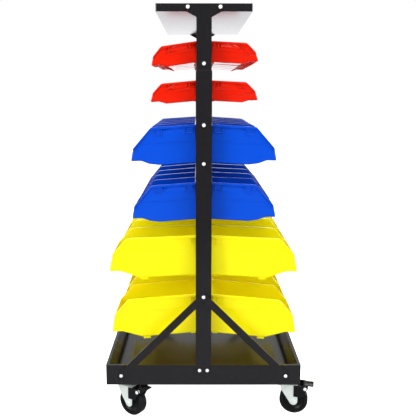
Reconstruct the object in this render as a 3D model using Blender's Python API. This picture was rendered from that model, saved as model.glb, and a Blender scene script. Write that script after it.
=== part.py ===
"""Mobile bin cart: a steel cart on four swivel casters, with hook-on plastic bins on both sides.

Metres, +Z up. X runs across the cart, so the bins open towards +X (right) and -X (left). Y runs along it:
the near end is at -Y and the far end at +Y. The origin is on the floor under the middle of the cart.
"""

import math

import bmesh
import bpy
from mathutils import Vector

# Fits
GAP = 0.0003  # between two parts that touch, and in running fits
OVERRUN = 0.004  # how far a cutter passes the wall that it cuts
BORE_STEPS = 12
SMOOTH_DEGREES = 30  # faces that meet at less than this are shaded as one
MERGE_SHARE = 0.01  # of the gap: points this close are one

# Trays
CART_HEIGHT = 1.050
BASE_LENGTH = 0.622
BASE_WIDTH = 0.505
BASE_WALL = 0.0539
BASE_LIP = 0.008
CASTER_HEIGHT = 0.0952  # floor to the caster's top plate
TOP_WIDTH = 0.2294
TOP_WALL = 0.0185
TRAY_SHEET = 0.0015
TRAY_CORNER = 0.003
INNER_CORNER_SHARE = 0.25  # least radius inside a corner, of the outer one
CORNER_STEPS = 3

# Posts and gussets
POST_SHEET = 0.0012
POST_WIDTH = 0.0365  # upper section, which telescopes into the lower one
POST_DEPTH = 0.025
UPPER_POST_SHOWN = 0.1355  # lower section's head to the top tray's underside
POST_OVERLAP = 0.246  # how far the upper section reaches into the lower one
FOOT_BOLT_HEIGHT = 0.136
FOOT_EDGE = 0.014
GUSSET_TOP_WIDTH = 0.092
GUSSET_LOW_WIDTH = 0.084
GUSSET_DROP = 0.013  # slanted part below the top tray's floor

# Braces
BRACE_WIDTH = 0.019
BRACE_THICKNESS = 0.0025
BRACE_HEAD_HEIGHT = 0.335
BRACE_FOOT_HEIGHT = 0.1215
BRACE_FOOT_FROM_SIDE = 0.0395
BRACE_PAD = 0.022  # flat length from the bolt to the bend
BRACE_END_STEPS = 6

# Hanging rails
RAIL_WIDTH = 0.033
RAIL_SHEET = 0.0015
RAIL_HEIGHT = 0.018

# Bin rows
ROW_FROM_END = 0.037
ROW_TILT = 3.8  # degrees, front down

# Each tier's rim at the back, as a share of the clear height between the two trays
RED_UPPER_RIM_SHARE = 0.9269
RED_LOWER_RIM_SHARE = 0.8208
BLUE_UPPER_RIM_SHARE = 0.6997
BLUE_LOWER_RIM_SHARE = 0.5353
YELLOW_UPPER_RIM_SHARE = 0.3806
YELLOW_LOWER_RIM_SHARE = 0.2041

# Bins, common sizes
BIN_WALL = 0.0022
BIN_FLANGE = 0.003  # how far the rim stands out from the side wall
RIM_DEPTH = 0.0045
SIDE_DRAFT_SHARE = 0.03  # how far a side wall leans in over the bin's height
BACK_RADIUS = 0.008
MOUTH_RADIUS = 0.012
ROUND_STEPS = 2
HOOK_ROOF = 0.0022
HOOK_LIP = 0.0022
HOOK_DROP = 0.0075
HOOK_STANDOFF = 0.0031  # back wall to the rail's face
LOWER_YELLOW_PULL = 0.004  # the lowest right row hangs this much further out
FOOT_DEPTHS = (0.0025, 0.0058)  # rear and front

# Bins, by colour: length from the back wall to the tip, height from rim to floor
RED_LENGTH = 0.1156
RED_HEIGHT = 0.0494
BLUE_LENGTH = 0.1688
BLUE_HEIGHT = 0.0955
YELLOW_LENGTH = 0.2288
YELLOW_HEIGHT = 0.1065

# Casters
SWIVEL_FROM_SIDE = 0.0405
SWIVEL_FROM_END = 0.048
CASTER_TRAIL = 0.031
WHEEL_RADIUS = 0.0375
WHEEL_STEPS = 24
TYRE_HALF_WIDTH = 0.012
HUB_HALF_WIDTH = 0.0155
HUB_RADIUS = 0.0105
WEB_SHARE = 2 / 3  # the web's thickness, of the tyre's width
RIM_SHARE = 0.74  # where the tyre's side starts, of the wheel's radius
TYRE_SHARES = ((0.80, 1.0), (0.94, 0.92), (1.0, 0.55))  # of the wheel's radius and the tyre's half width
AXLE_RADIUS = 0.004
AXLE_HEAD_RADIUS = 0.0065
AXLE_HEAD = 0.003
PLATE_SIZE = 0.060
PLATE_THICKNESS = 0.0027
CUP_RADIUS = 0.024
CUP_DEPTH = 0.006
KINGPIN_RADIUS = 0.005
KINGPIN_HEAD_RADIUS = 0.0085
KINGPIN_HEAD = 0.0027
RACE_RADIUS = 0.023
RACE_DEPTH = 0.0037
CROWN_THICKNESS = 0.0025
FORK_HALF_WIDTH = 0.019
FORK_SHEET = 0.002
FORK_EYE_RADIUS = 0.0105
FORK_BACK = 0.005  # the leg's top corner, behind the swivel axis
FORK_KNEE_HEIGHT = 0.066

# Brakes
HOUSING_BOTTOM = 0.051
HOUSING_SHEET = 0.0022
HOUSING_SEAT = 0.0002  # how far the cheek is let into the fork's leg
PIN_REACH = 0.061  # pivot pin, measured from the swivel axis
PIN_HEIGHT = 0.0752
PIN_RADIUS = 0.0045
PIN_END = 0.0015
EAR_RADIUS = 0.0065
EAR_FROM_DEGREES = -60
EAR_TO_DEGREES = 90
PEDAL_HUB_RADIUS = 0.0075
PEDAL_HUB_FROM_DEGREES = 120
PEDAL_HUB_TO_DEGREES = 390
PEDAL_HEEL_SHARE = 0.5  # where the plate starts behind the pin, of the hub's radius
PEDAL_REACH = 0.022
PEDAL_HALF_WIDTH = 0.0145
PEDAL_THICKNESS = 0.003
PEDAL_RISE = 0.004  # pin to the plate's underside
PEDAL_STEPS = 8

# Derived frame sizes
base_underside = CASTER_HEIGHT + GAP
base_rim = base_underside + BASE_WALL
top_underside = CART_HEIGHT - TOP_WALL
base_face = BASE_LENGTH / 2
lower_web_inside = base_face + GAP
lower_web_outside = lower_web_inside + POST_SHEET
upper_web_outside = lower_web_inside - GAP
upper_web_inside = upper_web_outside - POST_SHEET
top_face = upper_web_inside - GAP
flange_tip = lower_web_outside - POST_DEPTH
lower_post_head = top_underside - UPPER_POST_SHOWN
upper_post_foot = lower_post_head - POST_OVERLAP
row_length = BASE_LENGTH - 2 * ROW_FROM_END

# A bin's side outline, from the back of the floor to the front corner of the mouth: shares of length and height.
# mouth_share is where the level rim ends.
OUTLINE_SHARES = {
    "red": {
        "mouth_share": 0.736,
        "under_shares": ((0.642, 1.0), (0.824, 0.838), (1.0, 0.834)),
        "corner_share": (0.932, 0.417),
        "foot_shares": (),
    },
    "blue": {
        "mouth_share": 0.667,
        "under_shares": ((0.589, 1.0), (0.738, 0.951), (0.849, 0.861), (1.0, 0.850)),
        "corner_share": (0.950, 0.512),
        "foot_shares": (),
    },
    "yellow": {
        "mouth_share": 0.771,
        "under_shares": ((0.662, 1.0), (0.760, 0.918), (0.883, 0.820), (1.0, 0.815)),
        "corner_share": (0.944, 0.359),
        "foot_shares": ((0.045, 0.10), (0.565, 0.645)),
    },
}
BIN_SIZES = {
    "red": (RED_LENGTH, RED_HEIGHT),
    "blue": (BLUE_LENGTH, BLUE_HEIGHT),
    "yellow": (YELLOW_LENGTH, YELLOW_HEIGHT),
}
BINS_PER_ROW = {"red": 5, "blue": 5, "yellow": 4}
HOOK_PULL = {"red": 0, "blue": 0, "yellow": LOWER_YELLOW_PULL}  # spare room in the hook

# Each tier: colour and rim share, then for left and right the near bin's tilt in degrees, the tilt of the other
# bins and how far the row is pulled out
TIERS = {
    "red_upper": ("red", RED_UPPER_RIM_SHARE, (8.3, 3.0), (ROW_TILT, ROW_TILT), (0, 0)),
    "red_lower": ("red", RED_LOWER_RIM_SHARE, (5.3, 2.9), (ROW_TILT, ROW_TILT), (0, 0)),
    "blue_upper": ("blue", BLUE_UPPER_RIM_SHARE, (4.0, 3.4), (ROW_TILT, ROW_TILT), (0, 0)),
    "blue_lower": ("blue", BLUE_LOWER_RIM_SHARE, (4.5, 3.2), (4.8, 2.6), (0, 0)),
    "yellow_upper": ("yellow", YELLOW_UPPER_RIM_SHARE, (2.8, 3.0), (4.5, 3.2), (0, 0)),
    "yellow_lower": ("yellow", YELLOW_LOWER_RIM_SHARE, (5.1, 5.5), (8.0, 6.2), (0, LOWER_YELLOW_PULL)),
}

# Each caster: side of its corner in X and Y, and the way its wheel trails, in degrees from +X
CASTERS = {
    "near_right": (1, -1, -11),
    "near_left": (-1, -1, -34),
    "far_left": (-1, 1, 180),
    "far_right": (1, 1, 140),
}


def clear_scene():
    for obj in list(bpy.data.objects):
        bpy.data.objects.remove(obj, do_unlink=True)


def finish_material(name, colour, roughness, metallic=0.0):
    made = bpy.data.materials.new(name)
    made.use_nodes = True
    shader = made.node_tree.nodes["Principled BSDF"]
    shader.inputs["Base Color"].default_value = (*colour, 1.0)
    shader.inputs["Roughness"].default_value = roughness
    shader.inputs["Metallic"].default_value = metallic
    return made


def finished(shape, name, material):
    """A scene object from a bmesh, with its faces turned outwards."""
    bmesh.ops.recalc_face_normals(shape, faces=shape.faces)
    if shape.calc_volume(signed=True) < 0:
        bmesh.ops.reverse_faces(shape, faces=shape.faces)
    mesh = bpy.data.meshes.new(name)
    shape.to_mesh(mesh)
    shape.free()
    mesh.materials.append(material)
    mesh.shade_smooth()
    mesh.set_sharp_from_angle(angle=math.radians(SMOOTH_DEGREES))
    obj = bpy.data.objects.new(name, mesh)
    bpy.context.scene.collection.objects.link(obj)
    return obj


def combined(name, material, solids, cuts=()):
    """One object from solids that overlap, with the cuts taken out of them."""
    first, *others = [finished(shape, name, material) for shape in solids]
    cutters = [finished(shape, name + "_cut", material) for shape in cuts]
    for other in others + cutters:
        step = first.modifiers.new("Combine", "BOOLEAN")
        step.operation = "DIFFERENCE" if other in cutters else "UNION"
        step.solver = "EXACT"
        step.object = other
    graph = bpy.context.evaluated_depsgraph_get()
    whole = bpy.data.meshes.new_from_object(first.evaluated_get(graph))
    for used in [first] + others + cutters:
        bpy.data.objects.remove(used, do_unlink=True)
    whole.name = name
    whole.set_sharp_from_angle(angle=math.radians(SMOOTH_DEGREES))
    obj = bpy.data.objects.new(name, whole)
    bpy.context.scene.collection.objects.link(obj)
    return obj


def prism(outline, low, high, along="Z"):
    """An outline pulled from low to high. It lies in XY for Z, and in XZ for Y."""
    shape = bmesh.new()

    def corner(a, b, level):
        return shape.verts.new((a, b, level) if along == "Z" else (a, level, b))

    start = [corner(a, b, low) for a, b in outline]
    end = [corner(a, b, high) for a, b in outline]
    shape.faces.new(start)
    shape.faces.new(end)
    for i, point in enumerate(start):
        shape.faces.new((start[i - 1], point, end[i], end[i - 1]))
    return shape


def block(x, y, z):
    """A box between the two values given for each axis."""
    return prism(((x[0], y[0]), (x[1], y[0]), (x[1], y[1]), (x[0], y[1])), z[0], z[1])


def arc(centre, radius, start, end, steps):
    """Points on an arc from start to end, in degrees."""
    angles = [math.radians(start + (end - start) * i / steps) for i in range(steps + 1)]
    return [(centre[0] + radius * math.cos(a), centre[1] + radius * math.sin(a)) for a in angles]


def circle(centre, radius, steps=BORE_STEPS):
    return arc(centre, radius, 0, 360 * (steps - 1) / steps, steps - 1)


def bore_circle(centre, radius, steps=BORE_STEPS):
    """A hole's outline, whose flats lie on the radius."""
    return circle(centre, radius / math.cos(math.pi / steps), steps)


def turned(profile, steps, axis="Z", closed=False):
    """A profile of (radius, place on the axis) points turned about Z or Y. A closed one goes round a bore.

    A flat of the turned shape, not a corner, points along -Z when it turns about Y.
    """
    shape = bmesh.new()
    rings = []
    for radius, place in profile:
        ring = []
        for i in range(steps):
            angle = 2 * math.pi * (i + 0.5) / steps
            a = radius * math.cos(angle)
            b = radius * math.sin(angle)
            ring.append(shape.verts.new((a, b, place) if axis == "Z" else (a, place, b)))
        rings.append(ring)
    pairs = list(zip(rings, rings[1:]))
    if closed:
        pairs.append((rings[-1], rings[0]))
    else:
        shape.faces.new(rings[0])
        shape.faces.new(rings[-1])
    for one, other in pairs:
        for i in range(steps):
            shape.faces.new((one[i - 1], one[i], other[i], other[i - 1]))
    return shape


def tray_shape(width, length, underside, wall, lip=0, sheet=TRAY_SHEET, corner=TRAY_CORNER):
    """A folded tray: floor, four upright walls and, with a lip, a return along the top."""
    top = underside + wall
    levels = [(0, underside), (0, top)]
    if lip:
        levels += [(lip, top), (lip, top - sheet), (sheet, top - sheet)]
    else:
        levels += [(sheet, top)]
    levels.append((sheet, underside + sheet))
    shape = bmesh.new()
    rings = []
    for inset, height in levels:
        radius = max(corner - inset, corner * INNER_CORNER_SHARE)
        ring = []
        for quarter, (sx, sy) in enumerate(((1, 1), (-1, 1), (-1, -1), (1, -1))):
            centre = (
                sx * (width / 2 - inset - radius),
                sy * (length / 2 - inset - radius),
            )
            bend = arc(centre, radius, 90 * quarter, 90 * (quarter + 1), CORNER_STEPS)
            ring += [shape.verts.new((x, y, height)) for x, y in bend]
        rings.append(ring)
    shape.faces.new(rings[0])
    shape.faces.new(rings[-1])
    for one, other in zip(rings, rings[1:]):
        for i, point in enumerate(one):
            shape.faces.new((one[i - 1], point, other[i], other[i - 1]))
    return shape


def make_trays(material):
    base = tray_shape(BASE_WIDTH, BASE_LENGTH, base_underside, BASE_WALL, lip=BASE_LIP)
    finished(base, "base_tray", material)
    top = tray_shape(TOP_WIDTH, 2 * top_face, top_underside, TOP_WALL)
    finished(top, "top_tray", material)


def post_channel(name, material, plate, web, half_width, flange_bottom, flange_top):
    """A channel open towards the cart's middle: the web's outline, and a flange down each side of it."""
    inside, outside = web
    solids = [prism(plate, -outside, -inside, along="Y")]
    for side in (-1, 1):
        edges = sorted((side * half_width, side * (half_width - POST_SHEET)))
        solids.append(block(edges, (-outside, -flange_tip), (flange_bottom, flange_top)))
    return combined(name, material, solids)


def make_post(end, material):
    """The lower post, and the upper post that slides into it and carries the gusset plate."""
    half = POST_WIDTH / 2
    lower_half = half + GAP + POST_SHEET
    foot = FOOT_BOLT_HEIGHT - FOOT_EDGE
    lower_plate = (
        (-lower_half, foot),
        (lower_half, foot),
        (lower_half, lower_post_head),
        (-lower_half, lower_post_head),
    )
    lower = post_channel(
        end + "_lower_post",
        material,
        lower_plate,
        (lower_web_inside, lower_web_outside),
        lower_half,
        base_rim + GAP,
        lower_post_head,
    )
    neck = top_underside - GUSSET_DROP
    upper_plate = (
        (-half, upper_post_foot),
        (half, upper_post_foot),
        (half, neck),
        (GUSSET_LOW_WIDTH / 2, top_underside),
        (GUSSET_TOP_WIDTH / 2, CART_HEIGHT),
        (-GUSSET_TOP_WIDTH / 2, CART_HEIGHT),
        (-GUSSET_LOW_WIDTH / 2, top_underside),
        (-half, neck),
    )
    upper = post_channel(
        end + "_upper_post",
        material,
        upper_plate,
        (upper_web_inside, upper_web_outside),
        half,
        upper_post_foot,
        top_underside - GAP,
    )
    return lower, upper


def make_brace(name, side, layer, material):
    """A flat bar from the post to the tray's corner, bent so that each end lies flat on what it is bolted to."""
    foot = Vector((side * (BASE_WIDTH / 2 - BRACE_FOOT_FROM_SIDE), BRACE_FOOT_HEIGHT))
    head = Vector((0, BRACE_HEAD_HEIGHT))
    run = (foot - head).length
    along = (foot - head).normalized()
    across = Vector((-along.y, along.x))
    head_face = lower_web_outside + GAP + layer * (BRACE_THICKNESS + GAP)
    foot_face = base_face + GAP
    half = BRACE_WIDTH / 2
    shape = bmesh.new()

    def corner(place, offset, depth):
        face = head_face if place < run / 2 else foot_face
        flat = head + along * place + across * offset
        return shape.verts.new((flat.x, -face - depth, flat.y))

    def end_outline(centre, start, depth):
        points = arc((centre, 0), half, start, start + 180, BRACE_END_STEPS)
        return [corner(place, offset, depth) for place, offset in points]

    sides = []
    for depth in (0, BRACE_THICKNESS):
        round_head = end_outline(0, 90, depth)
        round_foot = end_outline(run, -90, depth)
        bends = [
            [corner(place, offset, depth) for place in (BRACE_PAD, run - BRACE_PAD)]
            for offset in (-half, half)
        ]
        shape.faces.new(round_head)
        shape.faces.new(round_foot)
        left = [round_head[-1], *bends[0], round_foot[0]]
        right = [round_head[0], *bends[1], round_foot[-1]]
        for i in range(3):
            shape.faces.new((left[i], left[i + 1], right[i + 1], right[i]))
        sides.append(round_head + bends[0] + round_foot + bends[1][::-1])
    for i, point in enumerate(sides[0]):
        shape.faces.new((sides[0][i - 1], point, sides[1][i], sides[1][i - 1]))
    return finished(shape, name, material)


def rim_height(tier):
    return base_rim + TIERS[tier][1] * (top_underside - base_rim)


def make_rail(tier, material):
    """A channel with an upright lip on each side for the bins' hooks, closed by a plate at each post."""
    lip_top = rim_height(tier) - HOOK_ROOF - GAP
    web = upper_web_inside if lip_top > upper_post_foot else lower_web_inside
    shape = tray_shape(
        RAIL_WIDTH,
        2 * (web - GAP),
        lip_top - RAIL_HEIGHT,
        RAIL_HEIGHT,
        sheet=RAIL_SHEET,
        corner=RAIL_SHEET,
    )
    return finished(shape, "rail_" + tier, material)


def offset_line(points, distance):
    """The open line of points moved to its left by distance, with mitred corners."""
    moved = []
    lines = []
    for a, b in zip(points, points[1:]):
        way = (Vector(b) - Vector(a)).normalized()
        shift = Vector((-way.y, way.x)) * distance
        lines.append((Vector(a) + shift, way))
    moved.append(lines[0][0])
    for (start, way), (other, other_way) in zip(lines, lines[1:]):
        turn = way.cross(other_way)
        reach = (other - start).cross(other_way) / turn
        moved.append(start + way * reach)
    last, way = lines[-1]
    moved.append(last + way * (Vector(points[-1]) - Vector(points[-2])).length)
    return moved


def rounded_corner(before, corner, after, radius, steps):
    """Points of an arc that rounds a corner between two straight lines."""
    inward = (Vector(before) - Vector(corner)).normalized()
    outward = (Vector(after) - Vector(corner)).normalized()
    half = inward.angle(outward) / 2
    centre = Vector(corner) + (inward + outward).normalized() * (radius / math.sin(half))
    first = Vector(corner) + inward * (radius / math.tan(half)) - centre
    last = Vector(corner) + outward * (radius / math.tan(half)) - centre
    start = math.degrees(math.atan2(first.y, first.x))
    sweep = math.degrees(math.atan2(first.cross(last), first.dot(last)))
    return [Vector(point) for point in arc(centre, radius, start, start + sweep, steps)]


def meet(a, b, c, d):
    """Where the line through a and b meets the line through c and d."""
    way = Vector(b) - Vector(a)
    other = Vector(d) - Vector(c)
    return Vector(a) + way * ((Vector(c) - Vector(a)).cross(other) / way.cross(other))


def bin_outlines(colour):
    """A bin's side view, x forward from the back wall and z up from the rim: the mouth, the body and the inside."""
    length, height = BIN_SIZES[colour]
    shares = OUTLINE_SHARES[colour]
    mouth_end = Vector((shares["mouth_share"] * length, 0))
    corner = Vector((shares["corner_share"][0] * length, -shares["corner_share"][1] * height))
    under = [Vector((x * length, -z * height)) for x, z in shares["under_shares"]]
    tip = under[-1]
    bend = rounded_corner((0, 0), mouth_end, corner, MOUTH_RADIUS, ROUND_STEPS)
    lip_foot = corner + (tip - corner) * (RIM_DEPTH / (corner.y - tip.y))
    heel = rounded_corner((0, 0), (0, -height), (length, -height), BACK_RADIUS, ROUND_STEPS)
    inside = offset_line([Vector((0, 0)), Vector((0, -height)), *under, corner], BIN_WALL)
    inside[-1] = meet(inside[-2], inside[-1], mouth_end, corner)
    feet = []
    for (start, end), depth in zip(shares["foot_shares"], FOOT_DEPTHS):
        drop = -height - depth
        feet += [(start * length, -height), (start * length, drop)]
        feet += [(end * length, drop), (end * length, -height)]
    body = [*heel, *[Vector(point) for point in feet], *under]
    return bend, corner, lip_foot, body, inside


def bin_shape(colour, count, pull, rim_width):
    """Bins side by side, joined where their rims meet. The origin is above the rail's lip, under the hook's roof."""
    height = BIN_SIZES[colour][1]
    pitch = row_length / BINS_PER_ROW[colour]
    bend, corner, lip_foot, body, inside = bin_outlines(colour)
    slot = HOOK_STANDOFF + RAIL_SHEET + GAP + HOOK_PULL[colour]
    reach = slot + HOOK_LIP
    origin = Vector((-(HOOK_STANDOFF + RAIL_SHEET / 2 + pull), -HOOK_ROOF))
    shape = bmesh.new()

    def half_body(level):
        return pitch / 2 - BIN_FLANGE + SIDE_DRAFT_SHARE * level

    def half_inside(level):
        return half_body(level) - BIN_WALL

    hook = [
        Vector((0, -HOOK_ROOF)),
        Vector((-slot, -HOOK_ROOF)),
        Vector((-slot, -HOOK_DROP)),
        Vector((-reach, -HOOK_DROP)),
        Vector((-reach, 0)),
    ]
    rim_top = [*bend, corner]
    rim_under = [Vector((p.x, p.y - RIM_DEPTH)) for p in bend] + [lip_foot]
    back_under = Vector((0, -RIM_DEPTH))
    for index in range(count):
        middle = (index - (count - 1) / 2) * pitch
        sides = {}
        for side in (-1, 1):

            def corners(points, half_width, side=side, middle=middle):
                made = []
                for p in points:
                    half = half_width(p.y) if callable(half_width) else half_width
                    made.append(
                        shape.verts.new((p.x - origin.x, middle + side * half, p.y - origin.y))
                    )
                return made

            sides[side] = {
                "hook": corners(hook, rim_width / 2),
                "top": corners(rim_top, rim_width / 2),
                "under": corners([back_under, *rim_under], rim_width / 2),
                "neck": corners([back_under, *rim_under], half_body),
                "body": corners(body, half_body),
                "edge": corners([Vector((BIN_WALL, 0)), *rim_top[:-1], inside[-1]], half_inside),
                "inside": corners(inside[1:-1], half_inside),
            }
            here = sides[side]
            is_outer = (side == -1 and index == 0) or (side == 1 and index == count - 1)
            if is_outer:
                shape.faces.new(here["hook"] + here["top"] + here["under"][::-1])
            for i in range(len(rim_under)):
                shape.faces.new(
                    (here["under"][i], here["under"][i + 1], here["neck"][i + 1], here["neck"][i])
                )
            top_line = [here["hook"][-1], *here["top"]]
            for i in range(len(rim_top)):
                shape.faces.new(
                    (top_line[i], top_line[i + 1], here["edge"][i + 1], here["edge"][i])
                )
            shape.faces.new([here["neck"][0], *here["body"], *here["neck"][:0:-1]])
            shape.faces.new([here["edge"][0], *here["inside"], *here["edge"][:0:-1]])
        low, high = sides[-1], sides[1]
        crossings = [low["neck"][:1] + low["body"] + low["neck"][-1:]]
        crossings.append(high["neck"][:1] + high["body"] + high["neck"][-1:])
        for i in range(1, len(crossings[0]) - 1):
            shape.faces.new(
                (crossings[0][i], crossings[0][i + 1], crossings[1][i + 1], crossings[1][i])
            )
        hook_low, hook_high = low["hook"], high["hook"]
        for i in range(len(hook) - 1):
            shape.faces.new((hook_low[i], hook_low[i + 1], hook_high[i + 1], hook_high[i]))
        shape.faces.new(
            [
                hook_low[0],
                low["under"][0],
                low["neck"][0],
                low["body"][0],
                high["body"][0],
                high["neck"][0],
                high["under"][0],
                hook_high[0],
            ]
        )
        shape.faces.new((hook_low[-1], low["edge"][0], high["edge"][0], hook_high[-1]))
        shape.faces.new((low["edge"][-1], low["top"][-1], high["top"][-1], high["edge"][-1]))
        shape.faces.new(
            [
                low["top"][-1],
                low["under"][-1],
                low["neck"][-1],
                high["neck"][-1],
                high["under"][-1],
                high["top"][-1],
            ]
        )
        lining = [[s["edge"][0], *s["inside"], s["edge"][-1]] for s in (low, high)]
        for i in range(len(lining[0]) - 1):
            shape.faces.new((lining[0][i], lining[0][i + 1], lining[1][i + 1], lining[1][i]))
    bmesh.ops.remove_doubles(shape, verts=shape.verts, dist=GAP * MERGE_SHARE)
    return shape


def hang(obj, side, middle, rim, tilt):
    """Hangs a bin over the rail's lip on one side, its front tilted down."""
    lip_centre = RAIL_WIDTH / 2 - RAIL_SHEET / 2
    obj.location = (side * lip_centre, middle, rim - HOOK_ROOF)
    obj.rotation_euler = (0, math.radians(tilt), 0 if side == 1 else math.pi)


def make_bins(tier, materials):
    colour, _, near_tilts, other_tilts, pulls = TIERS[tier]
    rim = rim_height(tier)
    per_row = BINS_PER_ROW[colour]
    pitch = row_length / per_row
    near_middle = -row_length / 2 + pitch / 2
    bank_middle = near_middle + pitch * per_row / 2
    for index, (label, side) in enumerate((("left", -1), ("right", 1))):
        single = finished(
            bin_shape(colour, 1, pulls[index], pitch - 2 * GAP),
            "near_bin_" + tier + "_" + label,
            materials[colour],
        )
        hang(single, side, near_middle, rim, near_tilts[index])
        bank = finished(
            bin_shape(colour, per_row - 1, pulls[index], pitch),
            "bin_bank_" + tier + "_" + label,
            materials[colour],
        )
        hang(bank, side, bank_middle, rim, other_tilts[index])


def tangent_point(start, centre, radius):
    """Where a line from start touches the circle, on the side below and behind it."""
    away = Vector(centre) - Vector(start)
    heading = math.atan2(away.y, away.x) - math.asin(radius / away.length)
    reach = math.sqrt(away.length**2 - radius**2)
    return Vector(start) + Vector((math.cos(heading), math.sin(heading))) * reach


def fork_shape_parts():
    """The fork's solids and cuts about the swivel axis, with the wheel trailing along +X."""
    crown_top = CASTER_HEIGHT - PLATE_THICKNESS - CUP_DEPTH - GAP - RACE_DEPTH
    crown_under = crown_top - CROWN_THICKNESS
    axle = Vector((CASTER_TRAIL, WHEEL_RADIUS))
    pin = Vector((PIN_REACH, PIN_HEIGHT))
    knee = Vector((0, FORK_KNEE_HEIGHT))
    touch = tangent_point(knee, axle, FORK_EYE_RADIUS)
    touch_angle = math.degrees(math.atan2(touch.y - axle.y, touch.x - axle.x))
    front = CASTER_TRAIL + FORK_EYE_RADIUS
    leg = [
        (-FORK_BACK, crown_top),
        (0, FORK_KNEE_HEIGHT),
        *arc(axle, FORK_EYE_RADIUS, touch_angle, 0, BORE_STEPS // 2),
        (front, crown_top),
    ]
    ear = arc(pin, EAR_RADIUS, EAR_FROM_DEGREES, EAR_TO_DEGREES, BORE_STEPS // 4)
    cheek = [
        (CASTER_TRAIL, HOUSING_BOTTOM),
        (PIN_REACH - EAR_RADIUS, HOUSING_BOTTOM),
        *ear,
        (PIN_REACH - EAR_RADIUS, crown_top),
        (CASTER_TRAIL, crown_top),
    ]
    solids = [
        block(
            (-FORK_BACK, front),
            (-FORK_HALF_WIDTH, FORK_HALF_WIDTH),
            (crown_under, crown_top),
        ),
        prism(circle((0, 0), RACE_RADIUS), crown_under, crown_top + RACE_DEPTH),
    ]
    for side in (-1, 1):
        leg_faces = sorted((side * FORK_HALF_WIDTH, side * (FORK_HALF_WIDTH - FORK_SHEET)))
        solids.append(prism(leg, *leg_faces, along="Y"))
        cheek_inside = FORK_HALF_WIDTH - HOUSING_SEAT
        cheek_faces = sorted((side * cheek_inside, side * (cheek_inside + HOUSING_SHEET)))
        solids.append(prism(cheek, *cheek_faces, along="Y"))
    pin_end = FORK_HALF_WIDTH - HOUSING_SEAT + HOUSING_SHEET + PIN_END
    solids.append(prism(circle(pin, PIN_RADIUS), -pin_end, pin_end, along="Y"))
    past_legs = FORK_HALF_WIDTH + OVERRUN
    cuts = [
        prism(bore_circle(axle, AXLE_RADIUS + GAP), -past_legs, past_legs, along="Y"),
        prism(
            bore_circle((0, 0), KINGPIN_RADIUS + GAP),
            crown_under - OVERRUN,
            crown_top + RACE_DEPTH + OVERRUN,
        ),
    ]
    return solids, cuts


def wheel_shape():
    """Hub, web and rounded tyre turned about the axle, with a flat of the tread on the floor."""
    swell = 1 / math.cos(math.pi / WHEEL_STEPS)
    web_half = TYRE_HALF_WIDTH * WEB_SHARE
    half = [
        (AXLE_RADIUS + GAP, HUB_HALF_WIDTH),
        (HUB_RADIUS, HUB_HALF_WIDTH),
        (HUB_RADIUS, web_half),
        (WHEEL_RADIUS * RIM_SHARE, web_half),
        *((WHEEL_RADIUS * radius, TYRE_HALF_WIDTH * half_width) for radius, half_width in TYRE_SHARES),
    ]
    profile = half + [(radius, -place) for radius, place in reversed(half)]
    return turned([(radius * swell, place) for radius, place in profile], WHEEL_STEPS, "Y", True)


def axle_shape():
    inner = FORK_HALF_WIDTH + GAP
    outer = inner + AXLE_HEAD
    profile = [
        (AXLE_HEAD_RADIUS, -outer),
        (AXLE_HEAD_RADIUS, -inner),
        (AXLE_RADIUS, -inner),
        (AXLE_RADIUS, inner),
        (AXLE_HEAD_RADIUS, inner),
        (AXLE_HEAD_RADIUS, outer),
    ]
    return turned(profile, BORE_STEPS, "Y")


def plate_parts():
    """The mounting plate, and under it the bearing cup and the kingpin that holds the fork."""
    plate_bottom = CASTER_HEIGHT - PLATE_THICKNESS
    cup_bottom = plate_bottom - CUP_DEPTH
    crown_under = cup_bottom - GAP - RACE_DEPTH - CROWN_THICKNESS
    half = PLATE_SIZE / 2
    profile = [
        (KINGPIN_HEAD_RADIUS, crown_under - GAP - KINGPIN_HEAD),
        (KINGPIN_HEAD_RADIUS, crown_under - GAP),
        (KINGPIN_RADIUS, crown_under - GAP),
        (KINGPIN_RADIUS, cup_bottom),
        (CUP_RADIUS, cup_bottom),
        (CUP_RADIUS, plate_bottom + PLATE_THICKNESS / 2),
    ]
    return [
        block((-half, half), (-half, half), (plate_bottom, CASTER_HEIGHT)),
        turned(profile, BORE_STEPS),
    ]


def pedal_parts():
    """The pedal about its pin: a hub with the tread plate over it."""
    rise = PEDAL_RISE
    top = rise + PEDAL_THICKNESS
    outline = [
        *arc((0, 0), PEDAL_HUB_RADIUS, PEDAL_HUB_FROM_DEGREES, PEDAL_HUB_TO_DEGREES, PEDAL_STEPS),
        (PEDAL_HUB_RADIUS, rise),
        (PEDAL_REACH, rise),
        (PEDAL_REACH, top),
        (-PEDAL_HUB_RADIUS * PEDAL_HEEL_SHARE, top),
    ]
    body = prism(outline, -PEDAL_HALF_WIDTH, PEDAL_HALF_WIDTH, along="Y")
    past = PEDAL_HALF_WIDTH + OVERRUN
    bore = prism(bore_circle((0, 0), PIN_RADIUS + GAP), -past, past, along="Y")
    return [body], [bore]


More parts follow.
